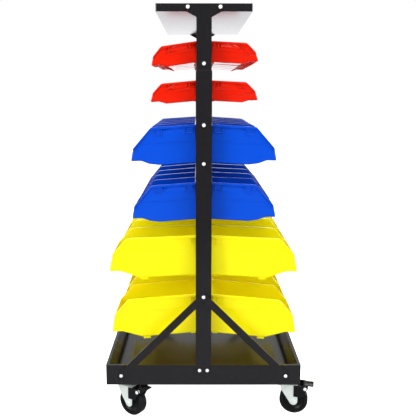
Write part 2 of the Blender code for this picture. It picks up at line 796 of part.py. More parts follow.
def make_caster(corner, materials):
    side_x, side_y, trail_angle = CASTERS[corner]
    swivel = bpy.data.objects.new("swivel_" + corner, None)
    bpy.context.scene.collection.objects.link(swivel)
    swivel.location = (
        side_x * (BASE_WIDTH / 2 - SWIVEL_FROM_SIDE),
        side_y * (BASE_LENGTH / 2 - SWIVEL_FROM_END),
        0,
    )
    plate = combined("caster_plate_" + corner, materials["zinc"], plate_parts())
    plate.location = swivel.location
    swivel.rotation_euler.z = math.radians(trail_angle)
    solids, cuts = fork_shape_parts()
    fork = combined("caster_fork_" + corner, materials["zinc"], solids, cuts)
    fork.parent = swivel
    wheel = finished(wheel_shape(), "caster_wheel_" + corner, materials["tyre"])
    axle = finished(axle_shape(), "caster_axle_" + corner, materials["zinc"])
    for piece in (wheel, axle):
        piece.parent = swivel
        piece.location = (CASTER_TRAIL, 0, WHEEL_RADIUS)
    body, bore = pedal_parts()
    pedal = combined("brake_pedal_" + corner, materials["brake"], body, bore)
    pedal.parent = swivel
    pedal.location = (PIN_REACH, 0, PIN_HEIGHT)


def make_far_end(objects):
    """The far end is the near end turned half round about Z."""
    for obj in objects:
        obj.rotation_euler.z = math.pi


def main():
    clear_scene()
    materials = {
        "black": finish_material("black_powder_coat", (0.022, 0.022, 0.023), 0.25),
        "red": finish_material("red_plastic", (0.85, 0.03, 0.005), 0.3),
        "blue": finish_material("blue_plastic", (0.005, 0.08, 0.75), 0.3),
        "yellow": finish_material("yellow_plastic", (0.95, 0.85, 0.005), 0.3),
        "zinc": finish_material("zinc_plate", (0.75, 0.78, 0.75), 0.35, 1.0),
        "tyre": finish_material("black_tyre", (0.02, 0.02, 0.02), 0.55),
        "brake": finish_material("black_brake", (0.015, 0.015, 0.015), 0.4),
    }
    make_trays(materials["black"])
    for end in ("near", "far"):
        pieces = list(make_post(end, materials["black"]))
        for layer, (label, side) in enumerate((("left", -1), ("right", 1))):
            brace_side = side if end == "near" else -side
            name = end + "_brace_" + label
            pieces.append(make_brace(name, brace_side, layer, materials["black"]))
        if end == "far":
            make_far_end(pieces)
    for tier in TIERS:
        make_rail(tier, materials["black"])
        make_bins(tier, materials)
    for corner in CASTERS:
        make_caster(corner, materials)


main()
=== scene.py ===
"""Looks of the mobile bin cart: moulded bins, folded steel, casters and bolts on its frame.

Metres, +Z up. X runs across the cart and Y along it, with the near end at -Y. The floor is at Z = 0.
"""

import math

import bmesh
import bpy
from mathutils import Matrix, Vector


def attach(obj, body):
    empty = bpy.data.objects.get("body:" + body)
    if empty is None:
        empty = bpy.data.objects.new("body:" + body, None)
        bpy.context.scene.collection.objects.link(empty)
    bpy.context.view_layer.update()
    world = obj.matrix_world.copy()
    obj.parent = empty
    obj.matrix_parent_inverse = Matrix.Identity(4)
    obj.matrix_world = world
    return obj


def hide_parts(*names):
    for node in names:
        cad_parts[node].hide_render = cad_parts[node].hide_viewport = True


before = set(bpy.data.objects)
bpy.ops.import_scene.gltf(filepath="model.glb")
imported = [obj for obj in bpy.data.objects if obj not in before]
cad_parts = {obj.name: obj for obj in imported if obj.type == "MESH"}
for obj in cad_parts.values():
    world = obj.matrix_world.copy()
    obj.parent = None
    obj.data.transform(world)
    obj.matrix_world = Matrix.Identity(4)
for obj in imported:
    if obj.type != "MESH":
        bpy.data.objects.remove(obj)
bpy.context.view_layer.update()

# Camera: angles in degrees, lens and sensor in millimetres
CAMERA_PLACE = (-0.0124, -1.8827, 0.8437)
CAMERA_PITCH = 10.137  # downwards
CAMERA_YAW = 0.119  # towards +X
CAMERA_ROLL = 0.056
CAMERA_LENS = 55.83
CAMERA_SENSOR = 36
CAMERA_SHIFT = 0.0192

# Shading and rounding
SHARP_DEGREES = 38  # faces that meet at more than this keep a sharp edge
SOFTENED_DEGREES = 25  # edges that bend more than this are rounded
FLAT_DEGREES = 0.5  # faces that meet at less than this are made one
DEGREES_PER_FLAT = 12
FEWEST_FLATS = 2
BEVEL_FLATS = 2
AREA_WEIGHT = 100
MERGE_DISTANCE = 0.00001
CUT_HALF = 0.03  # half the length of a bore's cut
LONGEST_REACH_SHARE = 0.48  # of the line on either side of a corner, taken up by its round

# Bins: sizes that all three colours share
BIN_WALL = 0.0022
BIN_FLANGE = 0.003
BIN_GAP = 0.0004  # between the rims of two neighbours, on each side
SIDE_DRAFT = 0.03
SIDE_FLATS = 4  # of the round between a side and the floor
LEAST_ROUND = 0.001
MOUTH_ROUND = 0.012  # where the rim turns down into the mouth
RIM_POINT = 0.03  # a point on the straight rim, forward from the back wall
EDGE_ROUND = 0.0006
FLANGE_RISE = 0.00015  # the flange's top over the wall's
FLANGE_ROUND = 0.0009
FLANGE_SEAT = 0.0018  # how far the flange reaches into the wall
FLANGE_BACK = 0.0005  # how far it stands behind the back wall
DETAIL_SEAT = 0.0006  # how far tabs, bars, ledges and label ribs reach into the wall
TAB_SET_BACK = 0.0007  # behind the rim's side
TAB_TOP_SHARE = 0.6  # of the rim's depth
BAR_SET_BACK = 0.0009
BAR_WIDTH = 0.0026
LEDGE_DEPTH = 0.0013  # from its seat in the wall outwards
LEDGE_HALF = 0.0009
LEDGE_START = 0.006
LEDGE_SHORT = 0.014  # of the mouth's slope
LEDGE_ROUND = 0.0003
FOOT_OUT = 0.002  # past the edge of the flat floor
FOOT_IN = 0.010  # inwards from that edge
FOOT_SEAT = 0.001  # into the floor
RIB_DEPTH = 0.0013
RIB_WIDTH = 0.0016
RIB_COUNT = 6
RIB_SPREAD_SHARE = 0.9  # of the body's half width
LABEL_HALF_SHARE = 0.80  # of the body's half width
LABEL_RIB_SHARES = (0.10, 0.80)  # where the ribs start, of the front's length
LABEL_END_SHARES = (0.12, 0.84)  # from where to where the ends run
LABEL_RIB_WIDTH = 0.0022
LABEL_RIB_RISE = 0.0012
LABEL_END_RISE = 0.0010
LABEL_ROUND = 0.0004
HOOK_ROOF = 0.0022
HOOK_LIP = 0.0022
HOOK_DROP = 0.0075
HOOK_STANDOFF = 0.0031  # between the back wall and the rail's lip
HOOK_CLEARANCE = 0.0003
HOOK_SEAT = 0.0012  # how far the hook reaches into the back wall
HOOK_SIDE_GAP = 0.0006  # between its end and the rim's side
RAIL_WIDTH = 0.033
RAIL_SHEET = 0.0015
ROW_LENGTH = 0.548
LOWEST_PULL = 0.004  # how much further out the lowest right row hangs

# Bins by colour. Places are (forward from the back wall, up from the rim). The rim runs level to mouth_end
# and slopes to corner, and under is the underside with a radius in rounds for each bend. Tabs are (centre,
# width, foot), bars (start, end, foot), ribs (start, end) and feet (start, end, depth). Slack is extra room
# in the hook.
BINS = {
    "red": {
        "per_row": 5,
        "mouth_end": (0.0851, 0),
        "corner": (0.1077, -0.0206),
        "under": ((0.0, -0.0494), (0.0742, -0.0494), (0.0953, -0.0414), (0.1156, -0.0412)),
        "rounds": (0.008, 0.010, 0.008),
        "side_round": 0.0035,
        "rim_depth": 0.0048,
        "band_start": 0.072,
        "band_depth": 0.0060,
        "tabs": (
            (0.0150, 0.003, -0.0150),
            (0.0225, 0.003, -0.0150),
            (0.0660, 0.003, -0.0160),
            (0.0745, 0.003, -0.0160),
        ),
        "bars": (),
        "ledge": -0.0220,
        "ribs": ((0.001, 0.0085), (0.0765, 0.1135)),
        "feet": (),
        "slack": 0,
    },
    "blue": {
        "per_row": 5,
        "mouth_end": (0.1126, 0),
        "corner": (0.1604, -0.0489),
        "under": (
            (0.0, -0.0955),
            (0.0994, -0.0955),
            (0.1246, -0.0908),
            (0.1433, -0.0822),
            (0.1688, -0.0812),
        ),
        "rounds": (0.008, 0.015, 0.016, 0.014),
        "side_round": 0.0045,
        "rim_depth": 0.0055,
        "band_start": 0.1115,
        "band_depth": 0.0070,
        "tabs": (
            (0.0093, 0.0034, -0.0205),
            (0.0277, 0.0034, -0.0205),
            (0.0865, 0.0034, -0.0215),
            (0.1038, 0.0034, -0.0215),
        ),
        "bars": ((0.0076, 0.0294, -0.0205), (0.0848, 0.1055, -0.0215)),
        "ledge": -0.0410,
        "ribs": (),
        "feet": (),
        "slack": 0,
    },
    "yellow": {
        "per_row": 4,
        "mouth_end": (0.1764, 0),
        "corner": (0.2160, -0.0382),
        "under": (
            (0.0, -0.1065),
            (0.1515, -0.1065),
            (0.1739, -0.0978),
            (0.2020, -0.0873),
            (0.2288, -0.0868),
        ),
        "rounds": (0.008, 0.008, 0.030, 0.020),
        "side_round": 0.005,
        "rim_depth": 0.0066,
        "band_start": 0.1545,
        "band_depth": 0.0112,
        "tabs": ((0.0220, 0.0184, -0.0230), (0.1450, 0.0190, -0.0240)),
        "bars": (),
        "ledge": -0.0350,
        "ribs": (),
        "feet": ((0.0103, 0.0229, 0.0025), (0.1293, 0.1476, 0.0058)),
        "slack": LOWEST_PULL,
    },
}

# Tiers: colour and rim height at the back, then for left and right the near bin's tilt and the tilt of the
# others, both in degrees, and how far the row is pulled out
TIERS = {
    "red_upper": ("red", 0.96705, (8.3, 3.0), (3.8, 3.8), (0, 0)),
    "red_lower": ("red", 0.87346, (5.3, 2.9), (3.8, 3.8), (0, 0)),
    "blue_upper": ("blue", 0.76658, (4.0, 3.4), (3.8, 3.8), (0, 0)),
    "blue_lower": ("blue", 0.62156, (4.5, 3.2), (4.8, 2.6), (0, 0)),
    "yellow_upper": ("yellow", 0.4851, (2.8, 3.0), (4.5, 3.2), (0, 0)),
    "yellow_lower": ("yellow", 0.32945, (5.1, 5.5), (8.0, 6.2), (0, LOWEST_PULL)),
}

# Steel: the round of its edges, and the outer faces along Y that the bolts sit on
SHEET_ROUND = 0.0005
LOWER_WEB = 0.3125
UPPER_WEB = 0.3110
BRACE_HEAD_FACE = 0.3181
BRACE_FOOT_FACE = 0.3140

# Bolts: places are (across the cart, height), on each end
BOLT_RADIUS = 0.0044
BOLT_HEIGHT = 0.0032
# The washer's dark ring is partly a real washer and partly painted contact shadow round each bolt head.
WASHER_RADIUS = 0.0079
WASHER_HEIGHT = 0.0008
BOLT_SIDES = 24
DOME_BASE_SHARE = 0.25  # of the head's height, below the dome
DOME_FLATS = 6
HEAD_SEAT_SHARE = 0.8  # of the washer's height, where the head starts
FACE_GAP = 0.0002  # between a post's face and the washer on it
GUSSET_BOLTS = ((-0.0383, 1.0418), (0.0383, 1.0418))
UPPER_WEB_BOLTS = ((0, 0.912),)
LOWER_WEB_BOLTS = ((0, 0.766), (0, 0.672), (-0.0098, 0.136), (0.0098, 0.136))
BRACE_HEAD_BOLTS = ((0, 0.335),)
BRACE_FOOT_BOLTS = ((-0.213, 0.1215), (0.213, 0.1215))

# Casters: place of the swivel axis and turn in degrees. Their own sizes have the wheel trailing along +X.
CASTERS = {
    "near_right": (0.212, -0.263, -11),
    "near_left": (-0.212, -0.263, -34),
    "far_left": (-0.212, 0.263, 180),
    "far_right": (0.212, 0.263, 140),
}
WHEEL_RADIUS = 0.0375
CASTER_TRAIL = 0.031
PIN_REACH = 0.061
PIN_HEIGHT = 0.0752

# Caster plate, its kingpin and nuts. Profiles are (radius, height).
PLATE_UNDER = 0.0925
PLATE_TOP = 0.0952
PLATE_ARM = 0.024  # from the middle to the centre of a corner's round
PLATE_CORNER = 0.006
PLATE_CORNER_FLATS = 6
PLATE_ROUND = 0.0005
KINGPIN_PROFILE = (
    (0.0085, 0.0771),
    (0.0085, 0.0797),
    (0.005, 0.0797),
    (0.005, 0.0865),
    (0.0225, 0.0865),
    (0.024, 0.0880),
    (0.024, 0.0935),
)
NUT_PLACE = 0.0235
NUT_RADIUS = 0.0048
NUT_SIDES = 6
NUT_UNDER = 0.0887
NUT_TOP = 0.0930
NUT_ROUND = 0.0004

# Fork
CROWN_UNDER = 0.0800
CROWN_TOP = 0.0825
CROWN_BACK = -0.005
CROWN_ROUND = 0.0008
RACE_TOP = 0.0862
RACE_RADIUS = 0.023
RACE_FOOT_RADIUS = 0.021
RACE_TOP_RADIUS = 0.0222
RACE_FOOT_RISE = 0.0015
RACE_TOP_DROP = 0.001
RACE_SIDES = 40
FORK_HALF = 0.019
FORK_SHEET = 0.002
FORK_ROUND = 0.0005
KNEE = (0, 0.066)
EYE_RADIUS = 0.0105
EYE_FLATS = 20
AXLE_BORE = 0.0043
KINGPIN_BORE = 0.0053
KINGPIN_OVERRUN = 0.004

# Brake housing and its pin
CHEEK_FOOT = 0.051
CHEEK_GAP = 0.0001
CHEEK_OUT = 0.0021  # from the fork's side to the cheek's outside
EAR_RADIUS = 0.0065
EAR_FROM_DEGREES = -60
EAR_TO_DEGREES = 90
EAR_FLATS = 12
HOUSING_ROUND = 0.0006
STRAP_FROM = 0.0110  # beyond the axle
STRAP_TO = 0.0135
STRAP_FOOT = 0.0760
STRAP_DROP = 0.0002  # under the crown's top
PIN_SIDES = 24
PIN_HEAD = ((0.0020, 0.0015), (0.0040, 0.0010), (0.0045, 0.0002))  # (radius, out of the cheek)

# Axle bolt
AXLE_RADIUS = 0.004
AXLE_HEAD_RADIUS = 0.0065
AXLE_HEAD_GAP = 0.0003
AXLE_HEAD_HEIGHT = 0.003
AXLE_HEAD_SHARES = (0.5, 0.85)  # of the head's radius, at its face and at its bevel
AXLE_BEVELS = (0.0006, 0.0016)  # in from the head's face
AXLE_SIDES = 32

# Wheel. Profiles are (radius, half width), from the bore outwards.
TYRE_SIDE = ((0.0275, 0.0080), (0.0285, 0.0115), (0.0335, 0.0120))
SHOULDER_PLACE = (0.0335, 0.0080)
SHOULDER_RADIUS = 0.0040
SHOULDER_STEP = 15  # degrees
SHOULDER_STEPS = 5
TREAD_HALF = 0.0060
HUB_SIDE = (
    (0.0043, 0.0155),
    (0.0098, 0.0155),
    (0.0105, 0.0148),
    (0.0112, 0.0070),
    (0.0240, 0.0060),
    (0.0255, 0.0092),
    (0.0272, 0.0092),
    (0.0276, 0.0070),
)
WHEEL_SIDES = 72

# Brake pedal, about its pin
PEDAL_HUB = 0.0075
PEDAL_HUB_FROM_DEGREES = 120
PEDAL_HUB_TO_DEGREES = 390
PEDAL_HUB_FLATS = 24
PEDAL_UNDER = 0.005
PEDAL_TOP = 0.008
PEDAL_REACH = 0.0220
PEDAL_NOSE = ((0.0208, PEDAL_UNDER), (PEDAL_REACH, 0.0062))  # the bevel under the tip
PEDAL_HALF = 0.0145
PEDAL_ROUND = 0.0005
PEDAL_BORE = 0.0048
GROOVE_COUNT = 5
GROOVE_PITCH = 0.0034
GROOVE_FROM = 0.004
GROOVE_TO = 0.0052
GROOVE_HALF = 0.012
GROOVE_FLOOR = 0.0074
GROOVE_CUT_TOP = 0.010

# Surfaces
COAT_ROUGHNESS = 0.13
GLOW_SCALE = 0.01
DRIFT_SCALE = 14
DRIFT_DETAIL = 4
GRAIN_DETAIL = 2
ROUGHNESS_SHARES = (0.85, 1.15)  # of the roughness, over the grain
RELIEF_DEPTH = 0.0003

# Surroundings as the gloss shows them: dim in front of the near end, bright behind the far end
FLOOR_SIZE = 14
FLOOR_DROP = 0.0005
FLOOR_DIM = 0.06
FLOOR_BRIGHT = 1.0
FLOOR_NEAR = 0.22
FLOOR_RISES = (-0.4, 2.0)  # along Y, from dim to bright
FLOOR_NEAR_RISES = (-2.4, -1.2)
FLOOR_CAST = (0.97, 0.955, 1.0, 1)
FLOOR_MATT = (0.85, 0.85, 0.86, 1)
WHITE = (1, 1, 1, 1)
BLACK = (0, 0, 0, 1)
SKY_DIM = 0.03
SKY_BRIGHT = 1.0
SKY_RISES = (-0.6, 0.5)  # along the direction's Y
SKY_LOW = 2.0  # factor near the horizon
SKY_HIGH = 0.45
SKY_HEIGHTS = (0.14, 0.30)  # along the direction's Z
AMBIENT_DIM = 0.42
AMBIENT_BRIGHT = 0.75
AMBIENT_RISES = (-0.9, 0.5)

# Lamps: place, aim, size in metres and power in watts
LAMPS = {
    "key": ((-2.5, -2.8, 1.9), (0, 0, 0.6), (1.6, 1.6), 66),
    "overhead": ((0, -1.4, 3.0), (0, -0.3, 0.5), (2.4, 0.8), 44),
    "fill": ((2.6, -2.4, 1.6), (0, 0, 0.5), (1.6, 1.6), 34),
    "top": ((0, 0.6, 3.2), (0, 0, 0.6), (2.2, 2.2), 65),
}


def fed(tree, socket, value):
    """Gives a socket a fixed value, or the output of another node."""
    if isinstance(value, bpy.types.NodeSocket):
        tree.links.new(value, socket)
    else:
        socket.default_value = value


def ranged(tree, source, rises, ends):
    """A value that goes from one end to the other while the source rises through its range."""
    made = tree.nodes.new("ShaderNodeMapRange")
    made.inputs["From Min"].default_value = rises[0]
    made.inputs["From Max"].default_value = rises[1]
    made.inputs["To Min"].default_value = ends[0]
    made.inputs["To Max"].default_value = ends[1]
    tree.links.new(source, made.inputs["Value"])
    return made.outputs["Result"]


def worked_out(tree, operation, first, second):
    """The sum, product or greater of two values."""
    made = tree.nodes.new("ShaderNodeMath")
    made.operation = operation
    tree.links.new(first, made.inputs[0])
    tree.links.new(second, made.inputs[1])
    return made.outputs[0]


def mixed(tree, factor, first, second, kind="FLOAT"):
    """Goes from first to second as the factor goes from 0 to 1."""
    made = tree.nodes.new("ShaderNodeMix")
    made.data_type = kind
    fed(tree, made.inputs["Factor"], factor)
    fed(tree, made.inputs["A"], first)
    fed(tree, made.inputs["B"], second)
    return made.outputs["Result"]


def noise(tree, place, scale, detail):
    """Noise that is fixed to the piece."""
    made = tree.nodes.new("ShaderNodeTexNoise")
    made.inputs["Scale"].default_value = scale
    made.inputs["Detail"].default_value = detail
    tree.links.new(place.outputs["Object"], made.inputs["Vector"])
    return made.outputs["Fac"]


def node_material(name, colour, roughness, metallic=0.0, specular=0.5, grain=600, bump=0.05, drift=0.06,
                  coat=0.0, glow=0.0, depths=(1.0, 0.2, 0.1), light=(0.0, 0.0, 0.0)):
    """A surface with fine grain and a slow drift of its colour. Light, if given, is a painted glow from the
    surface itself, not a lamp.
    """
    made = bpy.data.materials.new(name)
    made.use_nodes = True
    tree = made.node_tree
    shader = tree.nodes["Principled BSDF"]
    for socket, value in (
        ("Metallic", metallic),
        ("Specular IOR Level", specular),
        ("Coat Weight", coat),
        ("Coat Roughness", COAT_ROUGHNESS),
        ("Subsurface Weight", glow),
        ("Subsurface Radius", depths),
        ("Subsurface Scale", GLOW_SCALE),
        # Emission paints light: with a light colour the surface glows though it is no lamp.
        ("Emission Color", (*light, 1)),
        ("Emission Strength", 1.0 if any(light) else 0.0),
    ):
        shader.inputs[socket].default_value = value
    place = tree.nodes.new("ShaderNodeTexCoord")
    slow = noise(tree, place, DRIFT_SCALE, DRIFT_DETAIL)
    fine = noise(tree, place, grain, GRAIN_DETAIL)
    darker = (*[c * (1 - drift) for c in colour], 1)
    lighter = (*[min(1, c * (1 + drift)) for c in colour], 1)
    tree.links.new(mixed(tree, slow, darker, lighter, "RGBA"), shader.inputs["Base Color"])
    spread = [roughness * share for share in ROUGHNESS_SHARES]
    tree.links.new(ranged(tree, fine, (0, 1), spread), shader.inputs["Roughness"])
    relief = tree.nodes.new("ShaderNodeBump")
    relief.inputs["Strength"].default_value = bump
    relief.inputs["Distance"].default_value = RELIEF_DEPTH
    tree.links.new(fine, relief.inputs["Height"])
    tree.links.new(relief.outputs["Normal"], shader.inputs["Normal"])
    return made


def make_materials():
    """Every surface by its short name."""
    return {
        "black": node_material(
            "black_powder_coat", (0.0115, 0.0106, 0.0120), 0.15, grain=900, bump=0.03, coat=0.5
        ),
        "red": node_material(
            "red_plastic", (0.69, 0.011, 0.0008), 0.15, grain=1100, bump=0.03, drift=0.03, specular=0.3
        ),
        "blue": node_material(
            "blue_plastic", (0.001, 0.062, 0.55), 0.15, grain=1100, bump=0.03, drift=0.04, specular=0.3
        ),
        "yellow": node_material(
            "yellow_plastic", (0.88, 0.74, 0.004), 0.16, grain=1100, bump=0.03, drift=0.02, specular=0.3,
            # light is a painted glow that lifts the shaded insides of the yellow bins; glow is the plastic's
            # real subsurface scattering.
            glow=0.6, depths=(1.0, 0.5, 0.03), light=(0.075, 0.072, 0.0),
        ),
        "zinc": node_material("zinc_plate", (0.74, 0.80, 0.765), 0.34, metallic=0.15, grain=500, bump=0.06),
        "bolt": node_material("bright_zinc", (0.88, 0.88, 0.88), 0.38, metallic=0.1, grain=500, bump=0.02),
        # The black washer is partly a real washer and partly painted contact shadow round each bolt head.
        "washer": node_material(
            "black_washer_and_painted_shadow", (0.008, 0.008, 0.008), 0.5, grain=500, bump=0.02, specular=0.2
        ),
        "tyre": node_material(
            "black_tyre", (0.009, 0.009, 0.010), 0.40, grain=700, bump=0.12, specular=0.28
        ),
        "brake": node_material(
            "black_brake", (0.008, 0.008, 0.009), 0.36, grain=700, bump=0.08, specular=0.25
        ),
    }


def finished(shape, name, material):
    """An object from a shape, its faces turned outwards and its flats kept flat."""
    bmesh.ops.recalc_face_normals(shape, faces=shape.faces)
    if shape.calc_volume(signed=True) < 0:
        bmesh.ops.reverse_faces(shape, faces=shape.faces)
    mesh = bpy.data.meshes.new(name)
    shape.to_mesh(mesh)
    shape.free()
    mesh.materials.append(material)
    mesh.shade_smooth()
    mesh.set_sharp_from_angle(angle=math.radians(SHARP_DEGREES))
    obj = bpy.data.objects.new(name, mesh)
    bpy.context.scene.collection.objects.link(obj)
    return obj


def applied(obj):
    """The object with its modifiers applied."""
    graph = bpy.context.evaluated_depsgraph_get()
    mesh = bpy.data.meshes.new_from_object(obj.evaluated_get(graph))
    obj.modifiers.clear()
    obj.data = mesh
    mesh.set_sharp_from_angle(angle=math.radians(SHARP_DEGREES))
    return obj


def joined(name, material, solids, cuts=()):
    """One mesh from solids that overlap, less the cuts."""
    first, *others = [finished(shape, name, material) for shape in solids]
    cutters = [finished(shape, name + "_cut", material) for shape in cuts]
    groups = []
    for operation, operands in (("UNION", others), ("DIFFERENCE", cutters)):
        if operands:
            group = bpy.data.collections.new(name)
            groups.append(group)
            for operand in operands:
                group.objects.link(operand)
            step = first.modifiers.new("Join", "BOOLEAN")
            step.operation = operation
            step.solver = "EXACT"
            step.operand_type = "COLLECTION"
            step.collection = group
    applied(first)
    for group in groups:
        bpy.data.collections.remove(group)
    for used in others + cutters:
        bpy.data.objects.remove(used, do_unlink=True)
    first.name = name
    return first


def even_shading(obj):
    """Weights the normals by face size, so that big flats stay flat next to narrow rounds."""
    step = obj.modifiers.new("Even", "WEIGHTED_NORMAL")
    step.keep_sharp = True
    step.weight = AREA_WEIGHT
    return applied(obj)


def softened(shape, radius):
    """Rounds the shape's sharp edges."""
    edges = [
        edge
        for edge in shape.edges
        if len(edge.link_faces) == 2 and math.degrees(edge.calc_face_angle(0)) > SOFTENED_DEGREES
    ]
    bmesh.ops.bevel(
        shape,
        geom=edges,
        offset=radius,
        offset_type="OFFSET",
        segments=BEVEL_FLATS,
        profile=0.5,
        affect="EDGES",
        clamp_overlap=True,
    )
    return shape


def prism(outline, low, high, along="Z"):
    """An outline pulled from low to high. It lies in XY for Z, and in XZ for Y."""
    shape = bmesh.new()

    def corner(a, b, level):
        return shape.verts.new((a, b, level) if along == "Z" else (a, level, b))

    start = [corner(a, b, low) for a, b in outline]
    end = [corner(a, b, high) for a, b in outline]
    shape.faces.new(start)
    shape.faces.new(end)
    for i, point in enumerate(start):
        shape.faces.new((start[i - 1], point, end[i], end[i - 1]))
    bmesh.ops.recalc_face_normals(shape, faces=shape.faces)
    return shape


def on_side(outline, side, inner, outer, radius):
    """An outline pulled from inner to outer on one side of the middle, with its edges rounded."""
    faces = sorted((side * inner, side * outer))
    return softened(prism(outline, *faces, along="Y"), radius)


def oblong(start, end, low, high):
    """A box's outline from its ends and levels."""
    return ((start, low), (end, low), (end, high), (start, high))


def block(x, y, z):
    """A box between the two values given for each axis."""
    return prism(oblong(*x, *y), *z)


def arc(centre, radius, start, end, steps):
    """Points on an arc from start to end, in degrees."""
    angles = [math.radians(start + (end - start) * i / steps) for i in range(steps + 1)]
    return [Vector((centre[0] + radius * math.cos(a), centre[1] + radius * math.sin(a))) for a in angles]


def turned(profile, steps, axis="Z", closed=False):
    """A profile of (radius, place on the axis) points turned about Z or Y. A closed one goes round a bore."""
    shape = bmesh.new()
    rings = []
    for radius, place in profile:
        ring = []
        for i in range(steps):
            angle = 2 * math.pi * (i + 0.5) / steps
            a = radius * math.cos(angle)
            b = radius * math.sin(angle)
            ring.append(shape.verts.new((a, b, place) if axis == "Z" else (a, place, b)))
        rings.append(ring)
    pairs = list(zip(rings, rings[1:]))
    if closed:
        pairs.append((rings[-1], rings[0]))
    else:
        shape.faces.new(rings[0])
        shape.faces.new(rings[-1])
    for one, other in pairs:
        for i in range(steps):
            shape.faces.new((one[i - 1], one[i], other[i], other[i - 1]))
    return shape


def both_sides(half):
    """A whole profile from (radius, half width) points, the same on either side of the middle."""
    one = [(radius, -width) for radius, width in half]
    other = [(radius, width) for radius, width in reversed(half)]
    return one + other


def rounded_corner(before, corner, after, radius):
    """Points of an arc that rounds a corner between two straight lines."""
    inward = (Vector(before) - Vector(corner)).normalized()
    outward = (Vector(after) - Vector(corner)).normalized()
    half = inward.angle(outward) / 2
    reach = radius / math.tan(half)
    reach = min(
        reach,
        LONGEST_REACH_SHARE * (Vector(before) - Vector(corner)).length,
        LONGEST_REACH_SHARE * (Vector(after) - Vector(corner)).length,
    )
    radius = reach * math.tan(half)
    centre = Vector(corner) + (inward + outward).normalized() * (radius / math.sin(half))
    first = Vector(corner) + inward * reach - centre
    last = Vector(corner) + outward * reach - centre
    start = math.degrees(math.atan2(first.y, first.x))
    sweep = math.degrees(math.atan2(first.cross(last), first.dot(last)))
    flats = max(FEWEST_FLATS, round(abs(sweep) / DEGREES_PER_FLAT))
    return arc(centre, radius, start, start + sweep, flats)


def rounded_line(points, radii):
    """The open line with each inner corner rounded to its radius."""
    line = [Vector(points[0])]
    for i, radius in enumerate(radii, start=1):
        if radius:
            line += rounded_corner(points[i - 1], points[i], points[i + 1], radius)
        else:
            line.append(Vector(points[i]))
    line.append(Vector(points[-1]))
    return line


def meet(a, b, c, d):
    """Where the line through a and b meets the line through c and d."""
    way = Vector(b) - Vector(a)
    other = Vector(d) - Vector(c)
    return Vector(a) + way * ((Vector(c) - Vector(a)).cross(other) / way.cross(other))


def inset_line(points, distance):
    """The open line moved to its left by distance, with mitred corners."""
    moved = []
    for i, point in enumerate(points):
        before = points[max(i - 1, 0)]
        after = points[min(i + 1, len(points) - 1)]
        ways = []
        if i > 0:
            ways.append((point - before).normalized())
        if i < len(points) - 1:
            ways.append((after - point).normalized())
        normals = [Vector((-way.y, way.x)) for way in ways]
        mean = sum(normals, Vector((0, 0))).normalized()
        moved.append(point + mean * (distance / mean.dot(normals[0])))
    return moved


def bin_shell(size, half_top):
    """The moulded tub: floor, walls and rounded edges, open at the mouth."""
    shape = bmesh.new()
    mouth_end = Vector(size["mouth_end"])
    corner = Vector(size["corner"])
    chain = rounded_line([(0, 0), *size["under"], size["corner"]], [*size["rounds"], 0])
    bend = rounded_corner((0, 0), mouth_end, corner, MOUTH_ROUND)
    mouth = [Vector((RIM_POINT, 0)), *bend][::-1]
    inner_chain = inset_line(chain, BIN_WALL)
    skins = []
    for inset, line in ((0, chain), (BIN_WALL, inner_chain)):
        radius = max(size["side_round"] - inset, LEAST_ROUND)
        rows = []
        for side in (-1, 1):
            turns = range(SIDE_FLATS + 1)
            for k in turns if side == 1 else reversed(turns):
                angle = math.radians(90 * k / SIDE_FLATS)
                moved = inset_line(line, radius - radius * math.cos(angle))
                moved[0].y = 0
                moved[-1] = meet(moved[-2], moved[-1], mouth_end, corner)
                out = radius - radius * math.sin(angle)
                row = []
                for p in moved:
                    half = half_top - inset + SIDE_DRAFT * p.y - out
                    row.append(shape.verts.new((p.x, side * half, p.y)))
                rows.append(row)
        for one, other in zip(rows, rows[1:]):
            for i in range(len(one) - 1):
                shape.faces.new((one[i], one[i + 1], other[i + 1], other[i]))
        edges = {}
        for side, row in ((-1, rows[0]), (1, rows[-1])):
            edge = []
            for p in mouth:
                half = half_top - inset + SIDE_DRAFT * p.y
                edge.append(shape.verts.new((p.x, side * half, p.y)))
            shape.faces.new([*row, *edge])
            edges[side] = edge
        loop = [row[-1] for row in rows] + edges[1] + [row[0] for row in reversed(rows)] + edges[-1][::-1]
        skins.append(loop)
    outer, inner = skins
    for i in range(len(outer)):
        shape.faces.new((outer[i - 1], outer[i], inner[i], inner[i - 1]))
    return shape


def bin_flange(size, side, body_half, rim_half):
    """The rim that stands out from a side wall, deeper from the front tab to the mouth's corner."""
    corner = Vector(size["corner"])
    mouth_end = Vector(size["mouth_end"])
    tip = Vector(size["under"][-1])
    depth = size["rim_depth"]
    band = size["band_depth"]
    top = [Vector((-FLANGE_BACK, 0)), *rounded_corner((0, 0), mouth_end, corner, MOUTH_ROUND), corner]
    top = [p + Vector((0, FLANGE_RISE)) for p in top]
    slope = (corner - mouth_end).normalized()
    inward = Vector((slope.y, -slope.x))
    foot = corner + (tip - corner).normalized() * band
    knee = meet(mouth_end + inward * band, corner + inward * band, (0, -band), (1, -band))
    under = [
        foot,
        meet(foot, foot + slope, knee, knee + Vector((1, 0))),
        Vector((size["band_start"], -band)),
        Vector((size["band_start"], -depth)),
        Vector((-FLANGE_BACK, -depth)),
    ]
    return on_side(top + under, side, body_half - FLANGE_SEAT, rim_half, FLANGE_ROUND)


def bin_hook(size, rim_half):
    """The hook along the back rim, with room for the rail's lip."""
    slot = HOOK_STANDOFF + RAIL_SHEET + HOOK_CLEARANCE + size["slack"]
    reach = slot + HOOK_LIP
    outline = (
        (HOOK_SEAT, FLANGE_RISE / 2),
        (-reach, FLANGE_RISE / 2),
        (-reach, -HOOK_DROP),
        (-slot, -HOOK_DROP),
        (-slot, -HOOK_ROOF),
        (0, -HOOK_ROOF),
        (HOOK_SEAT, -size["rim_depth"]),
    )
    end = rim_half - HOOK_SIDE_GAP
    return softened(prism(outline, -end, end, along="Y"), EDGE_ROUND)


